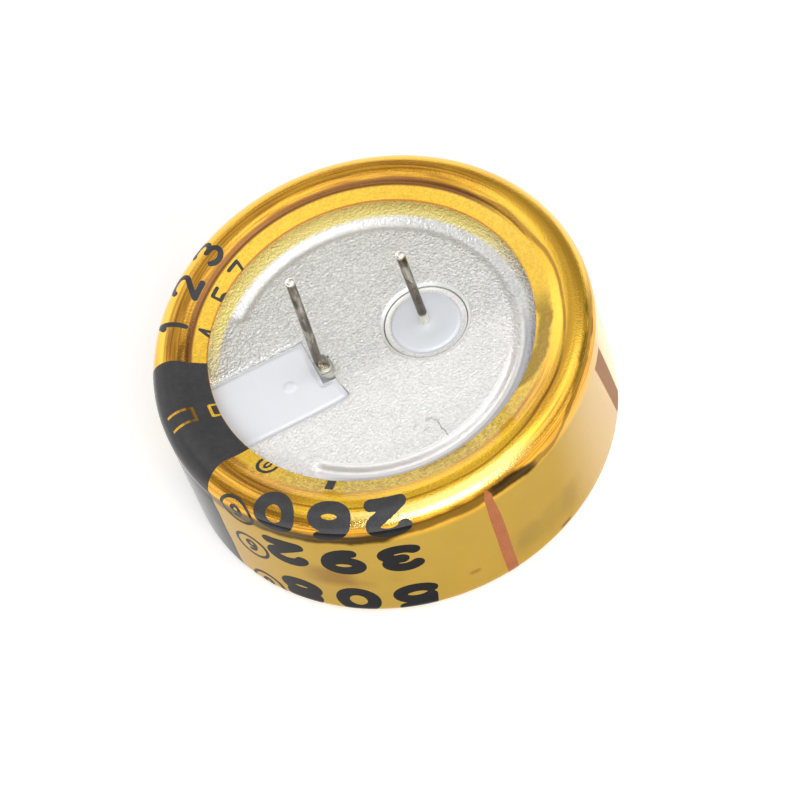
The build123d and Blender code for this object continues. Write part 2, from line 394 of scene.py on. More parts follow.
def ripple(theta, run, crest):
    """Small waves of the shrunk film, in metres, at an angle and a distance along its line."""
    s = (run - crest) / MM + CREST_AT
    angle = (np.degrees(theta) + 180) % 360 - 180
    height = np.zeros(np.broadcast(theta, s).shape)
    for k, (a, b, c, d) in enumerate(RIPPLES):
        round_waves = 3 + int(30 * a * a)
        height = height + (0.35 + 0.65 * d) * np.sin(round_waves * theta + 6.28 * b + s * (1.4 * c - 0.7))
    height *= 0.0006
    far_side = smooth_step((np.sin(theta) + 0.1) / 0.5)
    height = height - 0.03 * far_side * hump((s - 0.95) / 0.08)
    for place, drift, turn, depth in LINES:
        middle = place + drift * np.sin(theta + turn) + 0.4 * drift * np.sin(3 * theta + 2 * turn)
        fade = 0.6 + 0.4 * np.sin(2 * theta + 3 * turn)
        height = height - depth * fade * hump((s - middle) / 0.06)
    sag = 0.012 + 0.012 * hump((angle + 122) / 30)
    height = height - sag * hump((s - 3.85 - 0.07 * np.sin(theta * 5 + 1)) / 0.36)
    for place, wide, tall in SEAM_FOLDS:
        height = height - tall * hump((angle - place - 3.0 * (s - 3.3)) / wide) * hump((s - 3.4) / 0.33)
    for place, wide in LIP_PUCKERS:
        height = height - 0.014 * hump((angle - place - 4.0 * (s - 1.1)) / wide) * hump((s - 0.95) / 0.28)
    rest = smooth_step((s - 0.15) / 0.4) * (1 - smooth_step((s - 9.2) / 0.4))
    return np.minimum(height * rest, 0.004) * MM


def film_surface(skin, theta, run, lift):
    """Points on the film at angles and distances along its line, lifted off it."""
    line, normal = skin["line"], skin["normal"]
    r = np.interp(run, skin["run"], line[:, 0])
    z = np.interp(run, skin["run"], line[:, 1])
    nr = np.interp(run, skin["run"], normal[:, 0])
    nz = np.interp(run, skin["run"], normal[:, 1])
    out = ripple(theta, run, skin["crest"]) + lift
    r = r + nr * out
    z = np.maximum(z + nz * out, 0.0)
    return np.stack([r * np.cos(theta), r * np.sin(theta), z], -1)


# ---------------------------------------------------------------- shader building


class Value:
    """Output of a node, with the sums, products and ramps that finishes are made of."""

    def __init__(self, tree, socket):
        self.tree = tree
        self.socket = socket

    def __add__(self, other):
        return calculated(self.tree, "ADD", self, other)

    def __sub__(self, other):
        return calculated(self.tree, "SUBTRACT", self, other)

    def __rsub__(self, other):
        return calculated(self.tree, "SUBTRACT", other, self)

    def __mul__(self, other):
        return calculated(self.tree, "MULTIPLY", self, other)

    def __truediv__(self, other):
        return calculated(self.tree, "DIVIDE", self, other)

    def __abs__(self):
        return calculated(self.tree, "ABSOLUTE", self)

    def most(self, *others):
        """Largest of several masks."""
        largest = self
        for other in others:
            largest = calculated(self.tree, "MAXIMUM", largest, other)
        return largest

    def ramp(self, low, high, to_low=0.0, to_high=1.0):
        """Smooth change from one number to another between two limits, and no change beyond them."""
        node = self.tree.nodes.new("ShaderNodeMapRange")
        node.interpolation_type = "SMOOTHSTEP"
        feed(self.tree, node, Value=self, From_Min=low, From_Max=high, To_Min=to_low, To_Max=to_high)
        return Value(self.tree, node.outputs["Result"])


def feed_socket(tree, socket, value):
    """Link a value to a socket, or set the socket to a number, a colour or a direction."""
    if isinstance(value, Value):
        tree.links.new(value.socket, socket)
    elif isinstance(value, (int, float)):
        socket.default_value = value
    elif socket.type == "RGBA":
        socket.default_value = (*value, 1.0)
    else:
        socket.default_value = tuple(value)


def feed(tree, node, **values):
    """Feed a node by socket name, with spaces as underscores."""
    for label, value in values.items():
        feed_socket(tree, node.inputs[label.replace("_", " ")], value)


def calculated(tree, operation, *numbers, clamp=False):
    """Math node fed by values or numbers."""
    node = tree.nodes.new("ShaderNodeMath")
    node.operation = operation
    node.use_clamp = clamp
    for socket, number in zip(node.inputs, numbers):
        feed_socket(tree, socket, number)
    return Value(tree, node.outputs[0])


class Look:
    """Nodes under construction, and the place or direction that they start from."""

    def __init__(self, tree, where):
        self.tree = tree
        self.where = Value(tree, where)

    def node(self, kind, **values):
        """New node, fed by socket name."""
        node = self.tree.nodes.new(kind)
        feed(self.tree, node, **values)
        return node

    def vector_math(self, operation, output, *vectors):
        """Vector Math node; returns one of its outputs."""
        node = self.node("ShaderNodeVectorMath")
        node.operation = operation
        for socket, vector in zip(node.inputs, vectors):
            feed_socket(self.tree, socket, vector)
        return Value(self.tree, node.outputs[output])

    def along(self, direction):
        """How far the place lies along a direction."""
        return self.vector_math("DOT_PRODUCT", "Value", self.where, direction)

    def split(self):
        """The place's three coordinates."""
        separate = self.node("ShaderNodeSeparateXYZ", Vector=self.where)
        return [Value(self.tree, socket) for socket in separate.outputs]

    def stretched(self, *scale):
        """The place, scaled along each axis."""
        mapping = self.node("ShaderNodeMapping", Vector=self.where, Scale=scale)
        return Value(self.tree, mapping.outputs[0])

    def noise(self, scale, detail=3.0, roughness=0.5, distortion=0.0, at=None):
        """Noise texture; returns its factor."""
        values = {"Scale": scale, "Detail": detail, "Roughness": roughness, "Distortion": distortion}
        node = self.node("ShaderNodeTexNoise", Vector=at or self.where, **values)
        return Value(self.tree, node.outputs["Fac"])

    def cells(self, scale, output):
        """Voronoi texture of irregular cells; returns its distance or its colour."""
        node = self.node("ShaderNodeTexVoronoi", Vector=self.where, Scale=scale)
        return Value(self.tree, node.outputs[output])

    def mix(self, share, a, b):
        """Mix of two colours."""
        node = self.node("ShaderNodeMix")
        node.data_type = "RGBA"
        feed(self.tree, node, Factor=share)
        for socket, value in zip([s for s in node.inputs if s.type == "RGBA"], (a, b)):
            feed_socket(self.tree, socket, value)
        return Value(self.tree, [s for s in node.outputs if s.type == "RGBA"][0])

    def painted(self, base, *layers):
        """Colour with layers over it, each a mask and a colour."""
        for share, tint in layers:
            base = self.mix(share, base, tint)
        return base

    def shared(self, name, **values):
        """Shared group at the place; returns its outputs by name."""
        node = self.node("ShaderNodeGroup")
        node.node_tree = groups()[name]
        feed(self.tree, node, **{"Vector": self.where, **values})
        return {socket.name: Value(self.tree, socket) for socket in node.outputs}

    def near(self, angle, full, gone):
        """1 where a point lies within an angle round the axis, 0 outside a wider one, in degrees."""
        cosine = self.shared("around", Bearing=bearing(angle))["Cosine"]
        return cosine.ramp(math.cos(math.radians(gone)), math.cos(math.radians(full)))

    def scratch(self, start, end, half):
        """1 along a slightly wandering scratch between two points in plan, in mm, and 0 beside it."""
        run = Vector((end[0] - start[0], end[1] - start[1], 0.0))
        size, way = run.length * MM, run.normalized()
        begin = Vector((*start, 0.0))
        along, across = [
            self.along(axis) - axis.dot(begin) * MM for axis in (way, Vector((-way.y, way.x, 0.0)))
        ]
        across = abs(across + self.noise(3200.0, 2.0).ramp(0.3, 0.7, -0.04 * MM, 0.04 * MM))
        ends = along.ramp(-0.06 * MM, 0.03 * MM) * along.ramp(size + 0.06 * MM, size)
        return ends * across.ramp(half * 1.5 * MM, half * 0.6 * MM)

    def wall_patch(self, height, angle, full, gone, level, tall):
        """Soft patch on the wall: 1 at an angle (degrees) and a height (mm), fading out round it."""
        return self.near(angle, full, gone) * abs(height - level * MM).ramp(tall * MM, 0.3 * tall * MM)


class Finish(Look):
    """Material under construction, on object coordinates."""

    def __init__(self, name):
        self.material = bpy.data.materials.new(name)
        self.material.use_nodes = True
        tree = self.material.node_tree
        self.shader = tree.nodes["Principled BSDF"]
        super().__init__(tree, tree.nodes.new("ShaderNodeTexCoord").outputs["Object"])

    def set(self, **values):
        """Feed the shader by socket name."""
        feed(self.tree, self.shader, **values)

    def bump(self, height, distance, strength=1.0):
        """Relief from a height."""
        node = self.node("ShaderNodeBump", Strength=strength, Distance=distance, Height=height)
        self.tree.links.new(node.outputs["Normal"], self.shader.inputs["Normal"])


def new_group(name, inputs, outputs):
    """Shader node group with named sockets; returns its look, its inputs by name and its output node."""
    tree = bpy.data.node_groups.new(name, "ShaderNodeTree")
    for label, kind, value in inputs:
        socket = tree.interface.new_socket(name=label, in_out="INPUT", socket_type="NodeSocket" + kind)
        if value is not None:
            socket.default_value = value
    for label, kind in outputs:
        tree.interface.new_socket(name=label, in_out="OUTPUT", socket_type="NodeSocket" + kind)
    source = tree.nodes.new("NodeGroupInput")
    given = {socket.name: Value(tree, socket) for socket in source.outputs if socket.name}
    return Look(tree, source.outputs["Vector"]), given, tree.nodes.new("NodeGroupOutput")


def mottle_group():
    """Two colours mixed by soft cloudy noise."""
    grey, dark_grey = (0.8, 0.8, 0.8, 1), (0.6, 0.6, 0.6, 1)
    look, given, result = new_group(
        "Mottle",
        [
            ("Vector", "Vector", None),
            ("Scale", "Float", 500.0),
            ("Colour A", "Color", grey),
            ("Colour B", "Color", dark_grey),
        ],
        [("Colour", "Color"), ("Mask", "Float")],
    )
    mask = look.noise(given["Scale"], 5.0, 0.6).ramp(0.35, 0.68)
    feed(look.tree, result, Mask=mask, Colour=look.mix(mask, given["Colour A"], given["Colour B"]))
    return look.tree


def grain_group():
    """Frosted grain: height of pits among fine wrinkles, and a mask that differs from pit to pit."""
    look, given, result = new_group(
        "Grain",
        [("Vector", "Vector", None), ("Scale", "Float", 8000.0)],
        [("Height", "Float"), ("Mask", "Float")],
    )
    scale = given["Scale"]
    pits = look.cells(scale * 0.8, "Distance")
    fine = look.noise(scale, 2.0, 0.6, 0.5)
    tone = look.node("ShaderNodeSeparateColor", Color=look.cells(scale, "Color"))
    patchy = Value(look.tree, tone.outputs[0]) * 0.4 + fine
    feed(look.tree, result, Height=pits * -0.35 + fine, Mask=patchy.ramp(0.4, 1.0))
    return look.tree


def lathe_group():
    """Streaks that run round the axis, as drawing and shrinking leave."""
    look, given, result = new_group(
        "Round streaks",
        [("Vector", "Vector", None), ("Across", "Float", 9000.0)],
        [("Height", "Float"), ("Mask", "Float")],
    )
    x, y, z = look.split()
    radius = calculated(look.tree, "SQRT", x * x + y * y)
    safe = calculated(look.tree, "MAXIMUM", radius, 1e-5)
    run = (radius - z) * given["Across"]
    turned_flat = look.node("ShaderNodeCombineXYZ", X=x / safe * 1.6, Y=y / safe * 1.6, Z=run)
    streak = look.noise(1.0, 4.0, 0.6, at=Value(look.tree, turned_flat.outputs[0]))
    feed(look.tree, result, Height=streak, Mask=streak.ramp(0.38, 0.66))
    return look.tree


def turned_place_group():
    """Place round the axis: radius, height, their difference, and the cosine of its angle to a bearing."""
    look, given, result = new_group(
        "Round the axis",
        [("Vector", "Vector", None), ("Bearing", "Vector", (1.0, 0.0, 0.0))],
        [(label, "Float") for label in ("Radius", "Height", "Difference", "Cosine")],
    )
    flat = look.vector_math("MULTIPLY", 0, look.where, (1, 1, 0))
    radius = look.vector_math("LENGTH", "Value", flat)
    unit = look.vector_math("NORMALIZE", 0, flat)
    cosine = look.vector_math("DOT_PRODUCT", "Value", unit, given["Bearing"])
    height = look.split()[2]
    feed(look.tree, result, Radius=radius, Height=height, Difference=radius - height, Cosine=cosine)
    return look.tree


GROUPS = {}


def groups():
    """Shared groups, made once."""
    if not GROUPS:
        makers = {
            "mottle": mottle_group,
            "grain": grain_group,
            "streaks": lathe_group,
            "around": turned_place_group,
        }
        GROUPS.update({name: make() for name, make in makers.items()})
    return GROUPS


def bearing(angle):
    """Unit vector at an angle round the axis, in degrees."""
    return (math.cos(math.radians(angle)), math.sin(math.radians(angle)), 0.0)


# ---------------------------------------------------------------- finishes


def film_on_metal(cap):
    """Amber film over bright metal: streaked rim, plain wall, painted highlights, painted dark shade under
    the rim.
    """
    look = Finish("Amber film on metal")
    near, mix = look.near, look.mix
    cloud = look.shared("mottle", Scale=420.0)["Mask"]
    streak = look.shared("streaks", Across=9000.0)
    fine = look.shared("grain", Scale=11000.0)
    spot = look.shared("around", Bearing=bearing(-100))
    height, radius, cosine = spot["Height"], spot["Radius"], spot["Cosine"]
    on_rim = height.ramp(6.1 * MM, 7.0 * MM)
    on_lip = radius.ramp(8.3 * MM, 8.05 * MM)
    near_side = cosine.ramp(0.1, 0.9)
    lip_side = cosine.ramp(0.5, 0.95)

    share = calculated(look.tree, "ADD", cloud * 0.2, streak["Mask"] * on_rim * 0.7, clamp=True)
    # Painted highlights: crest and whitish paint the near rim paler where the lamp's highlight falls.
    crest = near(-98, 24, 44) * height.ramp(7.36 * MM, 7.6 * MM)
    whitish = near(-95, 18, 32) * height.ramp(7.15 * MM, 7.3 * MM) * radius.ramp(9.25 * MM, 9.4 * MM)
    # The layers at -8 and 95 degrees paint the right rim and the far outer rim lighter, as painted light.
    rim = look.painted(
        mix(share, cap.on_metal, cap.on_metal_dark),
        (crest, (1.0, 0.61, 0.035)),
        (whitish, (1.0, 0.72, 0.2)),
        (near(-8, 24, 46) * height.ramp(7.1 * MM, 7.3 * MM) * 0.9, (1.0, 0.60, 0.045)),
        (near(95, 50, 80) * radius.ramp(9.15 * MM, 9.4 * MM) * 0.8, (1.0, 0.60, 0.035)),
    )
    lip = look.painted(
        mix(lip_side, cap.on_lip, (0.92, 0.66, 0.08)),
        (fine["Mask"] * lip_side.ramp(0.0, 1.0, 0.38, 0.9), (0.40, 0.25, 0.012)),
        (radius.ramp(7.50 * MM, 7.44 * MM) * near(90, 70, 110) * 0.85, cap.cut),
    )
    # The pale layer near -22 degrees is a painted reflection: glare at the wall's right edge.
    wall = look.painted(
        mix(cloud * 0.25, cap.on_wall, (0.38, 0.23, 0.026)), (near(-22, 8, 42), (0.60, 0.46, 0.26))
    )
    base = look.painted(mix(on_lip, rim, lip), (height.ramp(6.5 * MM, 5.9 * MM), wall))

    drift = look.noise(260.0, 2.0).ramp(0.3, 0.7, -0.05 * MM, 0.05 * MM)
    place = cosine * (0.34 * MM) + cosine * cosine * (0.15 * MM) + 1.0 * MM + drift
    broken = look.noise(500.0).ramp(0.3, 0.5, 0.3, 0.7)
    line = abs(spot["Difference"] - place).ramp(0.08 * MM, 0.02 * MM) * broken
    crease = abs(radius - 8.22 * MM).ramp(0.21 * MM, 0.10 * MM) * near(95, 58, 85)
    base = mix(line.most(crease) * height.ramp(6.9 * MM, 7.1 * MM), base, (0.26, 0.10, 0.012))

    # The neck band is painted shade: the dark gap under the rim, seen through the film over the neck.
    wavy = look.noise(900.0, 3.0).ramp(0.3, 0.65, -0.06 * MM, 0.06 * MM)
    climb = near(-90, 12, 22) * (0.32 * MM) + near(-30, 12, 32) * (0.85 * MM)
    reach = near(-115, 40, 55).ramp(0.0, 1.0, 0.20 * MM, 0.46 * MM)
    neck = (abs(height - climb + wavy - 6.40 * MM) / reach).ramp(1.1, 0.5)
    strong = (near(-98, 22, 30) * 0.8).most(near(-136, 28, 44), near(-75.5, 5, 11), near(-52, 28, 42) * 0.6)
    neck = neck * strong * streak["Mask"].ramp(0.0, 1.0, 1.0, 0.94)

    # The brown patch at -123 degrees is a painted reflection of shade; the grey patches and spots darken the
    # wall.
    brown = look.noise(420.0, 2.0).ramp(0.35, 0.6, 0.1, 0.85)
    grey = look.noise(900.0, 3.0).ramp(0.3, 0.6, 0.35, 0.8) * 0.38
    dim_patches = look.wall_patch(height, -70, 8, 16, 2.0, 1.3) * grey
    dim_patches = dim_patches.most(look.wall_patch(height, -77.5, 1, 4, 1.9, 0.6) * 0.35)
    spots = look.wall_patch(height, -92.5, 0.5, 2.0, 1.75, 0.2) * 0.5
    spots = spots.most(look.wall_patch(height, -65, 0.6, 2.4, 0.62, 0.13))
    side = look.along((0.5, 0.866, 0.21))
    flap = abs(side - 0.70 * MM).ramp(0.62 * MM, 0.52 * MM) * near(-29, 12, 16)
    flap = flap * height.ramp(5.95 * MM, 5.75 * MM) * 0.95
    # beyond paints pale glare low on the wall past the flap: a painted reflection.
    beyond = side.ramp(1.25 * MM, 1.4 * MM) * near(-16, 7, 17) * height.ramp(6.7 * MM, 6.4 * MM)
    base = look.painted(
        base,
        (neck, cap.neck_shade),
        (look.wall_patch(height, -123, 4, 15, 3.2, 1.1) * brown, (0.24, 0.12, 0.014)),
        (dim_patches, (0.13, 0.105, 0.035)),
        (spots * 0.8, (0.08, 0.03, 0.012)),
        (flap, (0.26, 0.095, 0.02)),
        (beyond, (0.90, 0.74, 0.56)),
    )
    coat = height.ramp(6.9 * MM, 7.3 * MM, 0.2, 0.9) * (1.0 - neck.most(flap))
    look.set(
        Base_Color=base,
        Roughness=streak["Mask"].ramp(0.0, 1.0, 0.14, 0.22) + near_side * on_rim * 0.07 + flap * 0.4,
        Metallic=radius.ramp(8.3 * MM, 8.05 * MM, 1.0, 0.35) * flap.ramp(0.0, 1.0, 1.0, 0.15),
        Coat_Weight=coat * crest.ramp(0.0, 1.0, 1.0, 0.65),
        Coat_Roughness=0.07,
        Coat_IOR=1.45,
        Specular_Tint=(1.0, 0.88, 0.7),
    )
    coarse = lip_side.ramp(0.0, 1.0, 2.3, 4.0) * radius.ramp(8.3 * MM, 8.05 * MM, 0.5, 1.0)
    coarse = coarse * height.ramp(6.6 * MM, 7.0 * MM, 0.35, 1.0)
    relief = streak["Height"] * height.ramp(6.4 * MM, 7.1 * MM, 0.25, 1.0) + fine["Height"] * coarse
    look.bump(relief, 0.010 * MM, 0.8)
    return look.material


def under_film(cap):
    """Underside of the film, cloudy amber; the tinted light under its lip is painted on the plate."""
    look = Finish("Film, underside")
    cloud = look.shared("mottle", Scale=700.0, Colour_A=cap.on_lip, Colour_B=cap.on_metal)
    fine = look.shared("grain", Scale=6000.0)
    look.set(Base_Color=cloud["Colour"], Roughness=fine["Mask"].ramp(0.0, 1.0, 0.3, 0.45), Coat_Weight=0.3)
    look.bump(fine["Height"], 0.006 * MM, 0.6)
    return look.material


def plain_finish(name, light, dark, scale, roughness, metallic=0.0, coat=0.0, grain=0.0, ior=1.5):
    """Material of two near colours with a grain of its own."""
    look = Finish(name)
    fine = look.shared("grain", Scale=6000.0)
    look.set(
        Base_Color=look.shared("mottle", Scale=scale, Colour_A=light, Colour_B=dark)["Colour"],
        Roughness=fine["Mask"].ramp(0.0, 1.0, roughness * 0.85, min(roughness * 1.2, 1.0)),
        Metallic=metallic,
        Coat_Weight=coat,
        Coat_Roughness=0.06,
        IOR=ior,
    )
    if grain:
        look.bump(fine["Height"], grain)
    return look.material


WORN_SPOTS = (((0.46, -4.82), (0.72, -4.86), 0.08), ((0.72, -4.95), (0.88, -5.16), 0.07))
FAINT_MARKS = (
    ((-0.22, -4.95), (0.05, -4.86)),
    ((0.12, -5.3), (0.42, -5.22)),
    ((-1.1, -4.6), (-0.7, -4.5)),
)


def frosted_metal(plate):
    """Frosted plated steel: one half rougher and painted greyer as shade, painted yellow light under the free
    lip.
    """
    look = Finish("Frosted plate")
    near = look.near
    fine = look.shared("grain", Scale=8800.0)
    cloud = look.shared("mottle", Scale=900.0)["Mask"]
    facing = look.shared("around", Bearing=bearing(-93))
    radius = facing["Radius"]
    # bright paints the near half lighter and the far half greyer, as painted light and shade.
    bright = (radius * facing["Cosine"]).ramp(-0.4 * MM, 2.6 * MM)
    flank = abs(radius - (plate.groove_radius + 0.2 * MM)).ramp(0.32 * MM, 0.2 * MM, 0.0, 0.6)
    middle = abs(radius - plate.groove_radius).ramp(0.52 * MM, 0.42 * MM, 0.0, 0.85)
    flank = flank.most(middle * near(-90, 45, 68)) * near(0, 134, 139)
    flank = flank * near(12, 26, 50).ramp(0.0, 1.0, 1.0, 0.35)
    from_pin = look.vector_math("SUBTRACT", 0, look.where, (*pin_centre() * MM, 0.0))
    rounded = look.shared("around", Vector=from_pin)["Radius"]
    rounded = rounded.ramp(plate.hole + 0.18 * MM, plate.hole + 0.1 * MM, 0.0, 0.85)
    plain = 1.0 - flank.most(rounded)

    worn = look.scratch((0.87, -5.16), (1.0, -6.02), 0.032) * 0.62
    for start, end, half in WORN_SPOTS:
        worn = worn.most(look.scratch(start, end, half) * 0.36)
    for start, end in FAINT_MARKS:
        worn = worn.most(look.scratch(start, end, 0.04) * 0.28)
    spot = look.shared("around", Bearing=bearing(84))
    # under_lip paints yellow light on the plate under the film's lip, on the far side.
    under_lip = spot["Radius"].ramp(6.95 * MM, 7.15 * MM) * spot["Cosine"].ramp(0.0, 0.6)
    # dull is a painted shadow of the film's edge on the near side of the plate.
    dull = spot["Radius"].ramp(6.66 * MM, 6.84 * MM) * near(-72, 45, 64) * 0.7
    base = look.painted(
        look.mix(bright, plate.metal, plate.metal_bright),
        (cloud * 0.15, (0.66, 0.67, 0.66)),
        ((1.0 - fine["Mask"]) * bright.ramp(0.0, 1.0, 0.48, 0.25) * plain, (0.42, 0.43, 0.42)),
        (look.scratch((0.62, -4.22), (1.15, -4.35), 0.26) * 0.3, (0.86, 0.97, 1.0)),
        (worn, (0.20, 0.21, 0.24)),
        (under_lip, (1.0, 0.92, 0.34)),
        (dull, (0.34, 0.35, 0.41)),
    )
    look.set(
        Base_Color=base,
        Metallic=under_lip.ramp(0.0, 1.0, 0.5, 0.1),
        Roughness=bright.ramp(0.0, 1.0, 0.38, 0.32),
    )
    look.bump(fine["Height"] * bright.ramp(0.0, 1.0, 1.0, 0.7) * plain, 0.1 * MM)
    return look.material


def white_plastic(name, light, dark):
    """Milky white plastic."""
    look = Finish(name)
    fine = look.shared("grain", Scale=2500.0)
    look.set(
        Base_Color=look.shared("mottle", Scale=700.0, Colour_A=light, Colour_B=dark)["Colour"],
        Roughness=fine["Mask"].ramp(0.0, 1.0, 0.08, 0.13),
        Subsurface_Weight=0.25,
        Subsurface_Radius=(0.6, 0.7, 0.9),
        Subsurface_Scale=0.4 * MM,
    )
    look.bump(fine["Height"], 0.002 * MM, 0.5)
    return look.material


def lead_metal(name, dull, tip, foot, foot_full, foot_gone):
    """Tinned wire, dull brown with worn bright patches, bright at its cut tip; heights in mm."""
    look = Finish(name)
    tint = look.shared("mottle", Scale=1500.0, Colour_A=dull, Colour_B=(0.12, 0.105, 0.085))["Colour"]
    patch = look.noise(2600.0, 2.0, at=look.stretched(1.0, 1.0, 0.3)).ramp(0.54, 0.68, 0.0, 0.85)
    lines = look.noise(14000.0, 3.0, 0.6, at=look.stretched(1.0, 1.0, 0.06))
    height = look.split()[2]
    base = look.painted(
        tint,
        (patch, (0.42, 0.39, 0.34)),
        (height.ramp(foot_gone * MM, foot_full * MM), foot),
        (height.ramp((tip - 0.3) * MM, (tip - 0.1) * MM), (0.95, 0.92, 0.90)),
    )
    look.set(Base_Color=base, Metallic=1.0, Roughness=lines.ramp(0.35, 0.7, 0.16, 0.34))
    look.bump(lines, 0.008 * MM, 0.7)
    return look.material


def floor_finish(stage):
    """Pale matt floor that reads as white against the part."""
    look = Finish("Pale floor")
    paler, darker = stage.floor_colour, (0.85, 0.85, 0.85)
    tint = look.shared("mottle", Scale=30.0, Colour_A=paler, Colour_B=darker)["Colour"]
    look.set(Base_Color=tint, Roughness=0.9, Specular_IOR_Level=0.1)
    path = look.node("ShaderNodeLightPath").outputs
    seen = [Value(look.tree, path[ray]) for ray in ("Is Camera Ray", "Is Glossy Ray", "Is Transmission Ray")]
    glow = look.node("ShaderNodeEmission", Strength=seen[0].most(*seen[1:]) * 0.3)
    add = look.node("ShaderNodeAddShader")
    look.tree.links.new(look.shader.outputs[0], add.inputs[0])
    look.tree.links.new(glow.outputs[0], add.inputs[1])
    look.tree.links.new(add.outputs[0], look.tree.nodes["Material Output"].inputs["Surface"])
    return look.material


# ---------------------------------------------------------------- pieces


class CAP_OT_sleeve(bpy.types.Operator):
    """Film sleeve over the can, with its free edge"""

    bl_idname = "cap.sleeve"
    bl_label = "Sleeve"

    def execute(self, context):
        cap = context.scene.cap_sleeve
        skin = film_line(cap)
        steps = 720
        theta = np.linspace(0, 2 * math.pi, steps, endpoint=False)
        run = skin["run"]
        outer = film_surface(skin, theta[None, :], run[:, None], 0.0)
        keep = np.linspace(0, len(run) - 1, 40).round().astype(int)
        inner_line = (skin["line"] - cap.film * skin["normal"])[keep][::-1]
        r, z = (np.repeat(column[:, None], steps, 1) for column in inner_line.T)
        inner = np.stack([r * np.cos(theta), r * np.sin(theta), z], -1)
        inner[0, :, 2] = cap.film
        points = np.concatenate([outer, inner]).reshape(-1, 3)
        rows = len(run) + len(keep)
        zones = np.ones((rows, steps), int)
        zones[: len(run) - 1] = 0
        zones[[len(run) - 1, -1]] = 2
        faces = grid_faces(rows, steps, closed=True)
        edge = plain_finish("Cut film edge", cap.cut, (0.6, 0.2, 0.03), 900.0, 0.3, coat=0.5)
        finishes = [film_on_metal(cap), under_film(cap), edge]
        add_piece("sleeve_film", points, faces, finishes, "amber_film", ["sleeve"], zones.ravel())
        return {"FINISHED"}


class CAP_OT_seam(bpy.types.Operator):
    """Lapped seam of the film, from the rim to the foot"""

    bl_idname = "cap.seam"
    bl_label = "Seam"

    def execute(self, context):
        cap = context.scene.cap_sleeve
        skin = film_line(cap)
        rows, across = np.linspace(3.0, 9.9, 120), np.linspace(-1, 1, 13)
        half = (0.19 + 0.09 * smooth_step((rows - 3.2) / 2.5)) * np.clip((rows - 2.9) / 0.5, 0.25, 1) / ROUND
        sway = 0.012 * np.sin(rows * 1.3) / ROUND
        theta = math.radians(-83.0) + (half[:, None] * across + sway[:, None])
        run = np.repeat(rows[:, None] + (skin["crest"] / MM - CREST_AT), len(across), 1) * MM
        top = film_surface(skin, theta, run, 0.012 * MM * (1 - across**6))
        bottom = film_surface(skin, theta, run, -0.02 * MM)
        points, faces = slab(top.reshape(-1, 3), bottom.reshape(-1, 3), grid_faces(len(rows), len(across)))
        seam = plain_finish("Lapped film", cap.seam, (0.36, 0.11, 0.018), 500.0, 0.26, 0.8, 0.2)
        add_piece("sleeve_seam", points, faces, [seam], "amber_film")
        return {"FINISHED"}


def bow(x, y, rx, ry, start, end):
    """Part of an ellipse as a stroke, angles in degrees."""
    count = max(8, int(abs(end - start) / 12))
    angles = np.radians(np.linspace(start, end, count))
    return [(x + rx * math.cos(a), y + ry * math.sin(a)) for a in angles]


SIX = [bow(0.5, 0.30, 0.5, 0.30, 0, 360), bow(0.74, 0.30, 0.74, 0.70, 180, 82)]
DIGITS = {
    "0": [bow(0.5, 0.5, 0.5, 0.5, 0, 360)],
    "1": [[(0.15, 0.74), (0.55, 1.0), (0.55, 0.0)]],
    "2": [bow(0.5, 0.70, 0.5, 0.30, 165, -35) + [(0.0, 0.0), (1.0, 0.0)]],
    "3": [bow(0.48, 0.75, 0.46, 0.25, 150, -90), bow(0.5, 0.26, 0.5, 0.26, 90, -150)],
    "4": [[(0.74, 0.0), (0.74, 1.0), (0.0, 0.28), (1.0, 0.28)]],
    "5": [[(0.93, 1.0), (0.15, 1.0), (0.08, 0.55)], bow(0.46, 0.32, 0.54, 0.32, 135, -150)],
    "6": SIX,
    "7": [[(0.0, 1.0), (1.0, 1.0), (0.36, 0.0)]],
    "8": [bow(0.5, 0.77, 0.42, 0.23, 0, 360), bow(0.5, 0.27, 0.5, 0.27, 0, 360)],
    "9": [[(1 - x, 1 - y) for x, y in stroke] for stroke in SIX],
}


def stroke_field(strokes, half):
    """Signed distance from strokes of the given half width: negative in the ink."""
    pieces = [(np.array(p), np.array(q)) for stroke in strokes for p, q in zip(stroke, stroke[1:])]
    return lambda xy: nearest_distance(pieces, xy) - half


def digit_field(digit, x, y, wide, tall, half):
    """Field of a digit in a box with its first corner at x, y."""
    scale = np.array([wide - 2 * half, tall - 2 * half])
    corner = np.array([x + half, y + half])
    strokes = [[tuple(corner + scale * point) for point in map(np.array, stroke)] for stroke in DIGITS[digit]]
    return stroke_field(strokes, half)


def box_field(x0, y0, x1, y1):
    """Signed distance from a rectangle."""

    def field(xy):
        dx = np.abs(xy[:, 0] - (x0 + x1) / 2) - (x1 - x0) / 2
        dy = np.abs(xy[:, 1] - (y0 + y1) / 2) - (y1 - y0) / 2
        return np.maximum(dx, dy)

    return field


def ring_strip(x, y, radius, half):
    """Points and faces of a plain ring."""
    turn = np.linspace(0, 2 * math.pi, 96, endpoint=False)
    circle = np.c_[np.cos(turn), np.sin(turn)]
    xy = np.concatenate([circle * (radius + half), circle * (radius - half)]) + (x, y)
    return xy, [(i, (i + 1) % 96, 96 + (i + 1) % 96, 96 + i) for i in range(96)]


